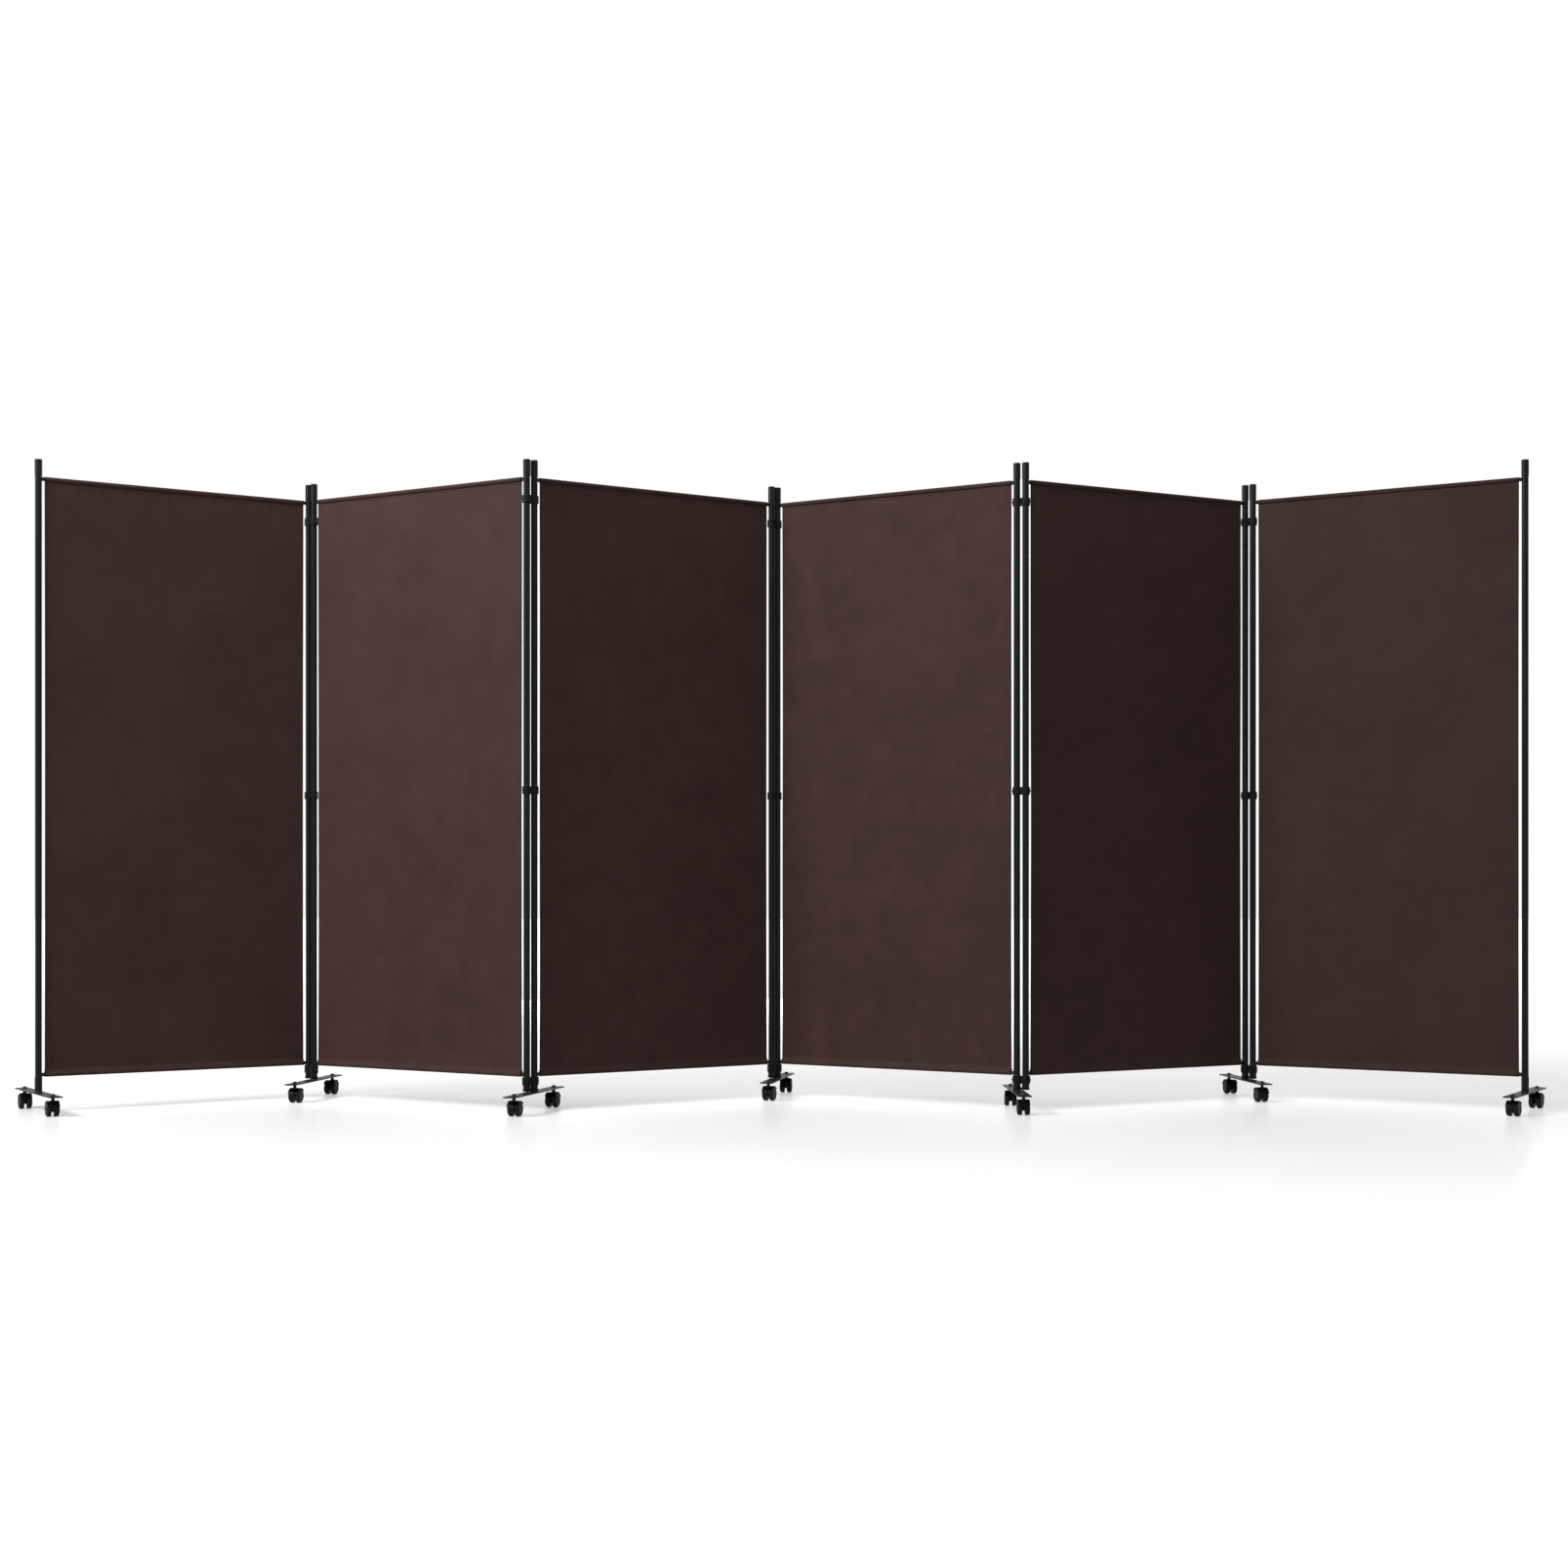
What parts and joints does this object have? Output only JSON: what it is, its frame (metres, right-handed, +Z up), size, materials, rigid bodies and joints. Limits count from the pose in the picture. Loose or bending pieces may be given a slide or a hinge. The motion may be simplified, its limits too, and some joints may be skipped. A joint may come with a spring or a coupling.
{
  "type": "folding privacy screen",
  "caption": "Rolling room divider: brown fabric panels on black tubular frames, clipped post to post in a zigzag on plate feet with twin-wheel casters.",
  "frame": {"origin": "on the floor under the middle of the whole screen, standing in its zigzag", "axes": "+X along the screen to its right end, +Y to the back, +Z up"},
  "size_m": [4.4424, 0.7902, 1.854],
  "materials": {
    "frame_black": "satin black powder coat",
    "fabric_brown": "plain-weave polyester, matte",
    "clip_black": "moulded, matte",
    "plate_black": "satin black, greyer on top",
    "caster_black": "moulded nylon",
    "wheel_black": "hard nylon tread"
  },
  "bodies": {
    "panel_1": {"panel_1_frame": "frame_black", "panel_1_fabric": "fabric_brown"},
    "panel_2": {"panel_2_frame": "frame_black", "panel_2_fabric": "fabric_brown"},
    "panel_3": {"panel_3_frame": "frame_black", "panel_3_fabric": "fabric_brown"},
    "panel_4": {"panel_4_frame": "frame_black", "panel_4_fabric": "fabric_brown"},
    "panel_5": {"panel_5_frame": "frame_black", "panel_5_fabric": "fabric_brown"},
    "panel_6": {"panel_6_frame": "frame_black", "panel_6_fabric": "fabric_brown"},
    "clips_1_to_2": {"clips_1_to_2": "clip_black"},
    "clips_2_to_3": {"clips_2_to_3": "clip_black"},
    "clips_3_to_4": {"clips_3_to_4": "clip_black"},
    "clips_4_to_5": {"clips_4_to_5": "clip_black"},
    "clips_5_to_6": {"clips_5_to_6": "clip_black"},
    "foot_1": {"foot_1": "plate_black"},
    "caster_1_front": {"caster_1_front_housing": "caster_black"},
    "wheels_1_front": {"caster_1_front_wheels": "wheel_black"},
    "caster_1_rear": {"caster_1_rear_housing": "caster_black"},
    "wheels_1_rear": {"caster_1_rear_wheels": "wheel_black"},
    "brake_1": {"caster_1_rear_brake": "caster_black"},
    "foot_2": {"foot_2": "plate_black"},
    "caster_2_front": {"caster_2_front_housing": "caster_black"},
    "wheels_2_front": {"caster_2_front_wheels": "wheel_black"},
    "caster_2_rear": {"caster_2_rear_housing": "caster_black"},
    "wheels_2_rear": {"caster_2_rear_wheels": "wheel_black"},
    "brake_2": {"caster_2_rear_brake": "caster_black"},
    "foot_3": {"foot_3": "plate_black"},
    "caster_3_front": {"caster_3_front_housing": "caster_black"},
    "wheels_3_front": {"caster_3_front_wheels": "wheel_black"},
    "caster_3_rear": {"caster_3_rear_housing": "caster_black"},
    "wheels_3_rear": {"caster_3_rear_wheels": "wheel_black"},
    "brake_3": {"caster_3_rear_brake": "caster_black"},
    "foot_4": {"foot_4": "plate_black"},
    "caster_4_front": {"caster_4_front_housing": "caster_black"},
    "wheels_4_front": {"caster_4_front_wheels": "wheel_black"},
    "caster_4_rear": {"caster_4_rear_housing": "caster_black"},
    "wheels_4_rear": {"caster_4_rear_wheels": "wheel_black"},
    "brake_4": {"caster_4_rear_brake": "caster_black"},
    "foot_5": {"foot_5": "plate_black"},
    "caster_5_front": {"caster_5_front_housing": "caster_black"},
    "wheels_5_front": {"caster_5_front_wheels": "wheel_black"},
    "caster_5_rear": {"caster_5_rear_housing": "caster_black"},
    "wheels_5_rear": {"caster_5_rear_wheels": "wheel_black"},
    "brake_5": {"caster_5_rear_brake": "caster_black"},
    "foot_6": {"foot_6": "plate_black"},
    "caster_6_front": {"caster_6_front_housing": "caster_black"},
    "wheels_6_front": {"caster_6_front_wheels": "wheel_black"},
    "caster_6_rear": {"caster_6_rear_housing": "caster_black"},
    "wheels_6_rear": {"caster_6_rear_wheels": "wheel_black"},
    "brake_6": {"caster_6_rear_brake": "caster_black"},
    "foot_7": {"foot_7": "plate_black"},
    "caster_7_front": {"caster_7_front_housing": "caster_black"},
    "wheels_7_front": {"caster_7_front_wheels": "wheel_black"},
    "caster_7_rear": {"caster_7_rear_housing": "caster_black"},
    "wheels_7_rear": {"caster_7_rear_wheels": "wheel_black"},
    "brake_7": {"caster_7_rear_brake": "caster_black"}
  },
  "joints": [
    {"name": "clips_1_to_2_turn", "type": "hinge", "parent": "panel_2", "child": "clips_1_to_2", "pos_m": [-1.41197, 0.15626, 0], "axis": [0, 0, 1], "range_deg": [-76.8, 99.2]},
    {"name": "panel_1_fold", "type": "hinge", "parent": "clips_1_to_2", "child": "panel_1", "pos_m": [-1.43121, 0.17299, 0], "axis": [0, 0, 1], "range_deg": [-160.6, 15.4]},
    {"name": "clips_2_to_3_turn", "type": "hinge", "parent": "panel_3", "child": "clips_2_to_3", "pos_m": [-0.70285, -0.22211, 0], "axis": [0, 0, -1], "range_deg": [-79.3, 96.7]},
    {"name": "panel_2_fold", "type": "hinge", "parent": "clips_2_to_3", "child": "panel_2", "pos_m": [-0.7221, -0.23884, 0], "axis": [0, 0, -1], "range_deg": [-158.8, 17.2]},
    {"name": "clips_3_to_4_turn", "type": "hinge", "parent": "panel_4", "child": "clips_3_to_4", "pos_m": [-0.01284, 0.22073, 0], "axis": [0, 0, 1], "range_deg": [-163, 13]},
    {"name": "panel_3_fold", "type": "hinge", "parent": "clips_3_to_4", "child": "panel_3", "pos_m": [-0.03087, 0.2027, 0], "axis": [0, 0, 1], "range_deg": [-75.3, 100.7]},
    {"name": "clips_4_to_5_turn", "type": "hinge", "parent": "panel_4", "child": "clips_4_to_5", "pos_m": [0.67565, -0.17677, 0], "axis": [0, 0, 1], "range_deg": [-98, 78]},
    {"name": "panel_5_fold", "type": "hinge", "parent": "clips_4_to_5", "child": "panel_5", "pos_m": [0.69961, -0.18549, 0], "axis": [0, 0, 1], "range_deg": [-135.7, 40.3]},
    {"name": "clips_5_to_6_turn", "type": "hinge", "parent": "panel_5", "child": "clips_5_to_6", "pos_m": [1.4035, 0.18406, 0], "axis": [0, 0, -1], "range_deg": [-155.7, 20.3]},
    {"name": "panel_6_fold", "type": "hinge", "parent": "clips_5_to_6", "child": "panel_6", "pos_m": [1.42304, 0.16767, 0], "axis": [0, 0, -1], "range_deg": [-77.6, 98.4]},
    {"name": "foot_1_swivel", "type": "hinge", "parent": "panel_1", "child": "foot_1", "pos_m": [-2.10834, -0.24358, 0], "axis": [0, 0, 1], "range_deg": [-93.3, 86.7]},
    {"name": "foot_2_swivel", "type": "hinge", "parent": "panel_2", "child": "foot_2", "pos_m": [-1.41197, 0.15626, 0], "axis": [0, 0, 1], "range_deg": [-108.2, 71.8]},
    {"name": "foot_3_swivel", "type": "hinge", "parent": "panel_3", "child": "foot_3", "pos_m": [-0.70285, -0.22211, 0], "axis": [0, 0, 1], "range_deg": [-40.2, 139.8]},
    {"name": "foot_4_swivel", "type": "hinge", "parent": "panel_4", "child": "foot_4", "pos_m": [-0.01284, 0.22073, 0], "axis": [0, 0, 1], "range_deg": [-108.8, 71.2]},
    {"name": "foot_5_swivel", "type": "hinge", "parent": "panel_4", "child": "foot_5", "pos_m": [0.67565, -0.17677, 0], "axis": [0, 0, 1], "range_deg": [-122, 58]},
    {"name": "foot_6_swivel", "type": "hinge", "parent": "panel_5", "child": "foot_6", "pos_m": [1.4035, 0.18406, 0], "axis": [0, 0, 1], "range_deg": [-71.6, 108.4]},
    {"name": "foot_7_swivel", "type": "hinge", "parent": "panel_6", "child": "foot_7", "pos_m": [2.11429, -0.22501, 0], "axis": [0, 0, 1], "range_deg": [-87.3, 92.7]},
    {"name": "caster_1_front_swivel", "type": "hinge", "parent": "foot_1", "child": "caster_1_front", "pos_m": [-2.02967, -0.35635, 0], "axis": [0, 0, 1], "continuous": true},
    {"name": "caster_1_rear_swivel", "type": "hinge", "parent": "foot_1", "child": "caster_1_rear", "pos_m": [-2.18701, -0.13081, 0], "axis": [0, 0, 1], "continuous": true},
    {"name": "caster_2_front_swivel", "type": "hinge", "parent": "foot_2", "child": "caster_2_front", "pos_m": [-1.43962, 0.02157, 0], "axis": [0, 0, 1], "continuous": true},
    {"name": "caster_2_rear_swivel", "type": "hinge", "parent": "foot_2", "child": "caster_2_rear", "pos_m": [-1.38432, 0.29095, 0], "axis": [0, 0, 1], "continuous": true},
    {"name": "caster_3_front_swivel", "type": "hinge", "parent": "foot_3", "child": "caster_3_front", "pos_m": [-0.7442, -0.35324, 0], "axis": [0, 0, 1], "continuous": true},
    {"name": "caster_3_rear_swivel", "type": "hinge", "parent": "foot_3", "child": "caster_3_rear", "pos_m": [-0.6615, -0.09097, 0], "axis": [0, 0, 1], "continuous": true},
    {"name": "caster_4_front_swivel", "type": "hinge", "parent": "foot_4", "child": "caster_4_front", "pos_m": [-0.03954, 0.08585, 0], "axis": [0, 0, 1], "continuous": true},
    {"name": "caster_4_rear_swivel", "type": "hinge", "parent": "foot_4", "child": "caster_4_rear", "pos_m": [0.01387, 0.35561, 0], "axis": [0, 0, 1], "continuous": true},
    {"name": "caster_5_front_swivel", "type": "hinge", "parent": "foot_5", "child": "caster_5_front", "pos_m": [0.68045, -0.31418, 0], "axis": [0, 0, 1], "continuous": true},
    {"name": "caster_5_rear_swivel", "type": "hinge", "parent": "foot_5", "child": "caster_5_rear", "pos_m": [0.67085, -0.03935, 0], "axis": [0, 0, 1], "continuous": true},
    {"name": "caster_6_front_swivel", "type": "hinge", "parent": "foot_6", "child": "caster_6_front", "pos_m": [1.42572, 0.04837, 0], "axis": [0, 0, 1], "continuous": true},
    {"name": "caster_6_rear_swivel", "type": "hinge", "parent": "foot_6", "child": "caster_6_rear", "pos_m": [1.38128, 0.31975, 0], "axis": [0, 0, 1], "continuous": true},
    {"name": "caster_7_front_swivel", "type": "hinge", "parent": "foot_7", "child": "caster_7_front", "pos_m": [2.04081, -0.34124, 0], "axis": [0, 0, 1], "continuous": true},
    {"name": "caster_7_rear_swivel", "type": "hinge", "parent": "foot_7", "child": "caster_7_rear", "pos_m": [2.18776, -0.10879, 0], "axis": [0, 0, 1], "continuous": true},
    {"name": "brake_1_press", "type": "hinge", "parent": "caster_1_rear", "child": "brake_1", "pos_m": [-2.19136, -0.12293, 0.04027], "axis": [-0.8755, -0.4833, 0], "range_deg": [-14, 0]},
    {"name": "brake_2_press", "type": "hinge", "parent": "caster_2_rear", "child": "brake_2", "pos_m": [-1.38282, 0.29982, 0.04027], "axis": [-0.986, 0.1668, 0], "range_deg": [-14, 0]},
    {"name": "brake_3_press", "type": "hinge", "parent": "caster_3_rear", "child": "brake_3", "pos_m": [-0.65925, -0.08226, 0.04027], "axis": [-0.9681, 0.2504, 0], "range_deg": [-14, 0]},
    {"name": "brake_4_press", "type": "hinge", "parent": "caster_4_rear", "child": "brake_4", "pos_m": [0.015, 0.36454, 0.04027], "axis": [-0.9921, 0.1253, 0], "range_deg": [-14, 0]},
    {"name": "brake_5_press", "type": "hinge", "parent": "caster_5_rear", "child": "brake_5", "pos_m": [0.67148, -0.03037, 0.04027], "axis": [-0.9976, 0.0698, 0], "range_deg": [-14, 0]},
    {"name": "brake_6_press", "type": "hinge", "parent": "caster_6_rear", "child": "brake_6", "pos_m": [1.37983, 0.32864, 0.04027], "axis": [-0.9869, -0.1616, 0], "range_deg": [-14, 0]},
    {"name": "brake_7_press", "type": "hinge", "parent": "caster_7_rear", "child": "brake_7", "pos_m": [2.19296, -0.10144, 0.04027], "axis": [-0.8161, 0.5779, 0], "range_deg": [-14, 0]},
    {"name": "wheels_1_front_roll", "type": "hinge", "parent": "caster_1_front", "child": "wheels_1_front", "pos_m": [-2.03402, -0.34847, 0.02], "axis": [0.8755, 0.4833, 0], "continuous": true},
    {"name": "wheels_1_rear_roll", "type": "hinge", "parent": "caster_1_rear", "child": "wheels_1_rear", "pos_m": [-2.18266, -0.13869, 0.02], "axis": [-0.8755, -0.4833, 0], "continuous": true},
    {"name": "wheels_2_front_roll", "type": "hinge", "parent": "caster_2_front", "child": "wheels_2_front", "pos_m": [-1.43812, 0.03044, 0.02], "axis": [0.986, -0.1668, 0], "continuous": true},
    {"name": "wheels_2_rear_roll", "type": "hinge", "parent": "caster_2_rear", "child": "wheels_2_rear", "pos_m": [-1.38582, 0.28207, 0.02], "axis": [-0.986, 0.1668, 0], "continuous": true},
    {"name": "wheels_3_front_roll", "type": "hinge", "parent": "caster_3_front", "child": "wheels_3_front", "pos_m": [-0.74194, -0.34453, 0.02], "axis": [0.9681, -0.2504, 0], "continuous": true},
    {"name": "wheels_3_rear_roll", "type": "hinge", "parent": "caster_3_rear", "child": "wheels_3_rear", "pos_m": [-0.66376, -0.09969, 0.02], "axis": [-0.9681, 0.2504, 0], "continuous": true},
    {"name": "wheels_4_front_roll", "type": "hinge", "parent": "caster_4_front", "child": "wheels_4_front", "pos_m": [-0.03673, 0.0944, 0.02], "axis": [0.95, -0.3123, 0], "continuous": true},
    {"name": "wheels_4_rear_roll", "type": "hinge", "parent": "caster_4_rear", "child": "wheels_4_rear", "pos_m": [0.01274, 0.34669, 0.02], "axis": [-0.9921, 0.1253, 0], "continuous": true},
    {"name": "wheels_5_front_roll", "type": "hinge", "parent": "caster_5_front", "child": "wheels_5_front", "pos_m": [0.68045, -0.30518, 0.02], "axis": [1, 0, 0], "continuous": true},
    {"name": "wheels_5_rear_roll", "type": "hinge", "parent": "caster_5_rear", "child": "wheels_5_rear", "pos_m": [0.67023, -0.04833, 0.02], "axis": [-0.9976, 0.0698, 0], "continuous": true},
    {"name": "wheels_6_front_roll", "type": "hinge", "parent": "caster_6_front", "child": "wheels_6_front", "pos_m": [1.42427, 0.05725, 0.02], "axis": [0.9869, 0.1616, 0], "continuous": true},
    {"name": "wheels_6_rear_roll", "type": "hinge", "parent": "caster_6_rear", "child": "wheels_6_rear", "pos_m": [1.38274, 0.31087, 0.02], "axis": [-0.9869, -0.1616, 0], "continuous": true},
    {"name": "wheels_7_front_roll", "type": "hinge", "parent": "caster_7_front", "child": "wheels_7_front", "pos_m": [2.04601, -0.33389, 0.02], "axis": [0.8161, -0.5779, 0], "continuous": true},
    {"name": "wheels_7_rear_roll", "type": "hinge", "parent": "caster_7_rear", "child": "wheels_7_rear", "pos_m": [2.18256, -0.11614, 0.02], "axis": [-0.8161, 0.5779, 0], "continuous": true}
  ]
}
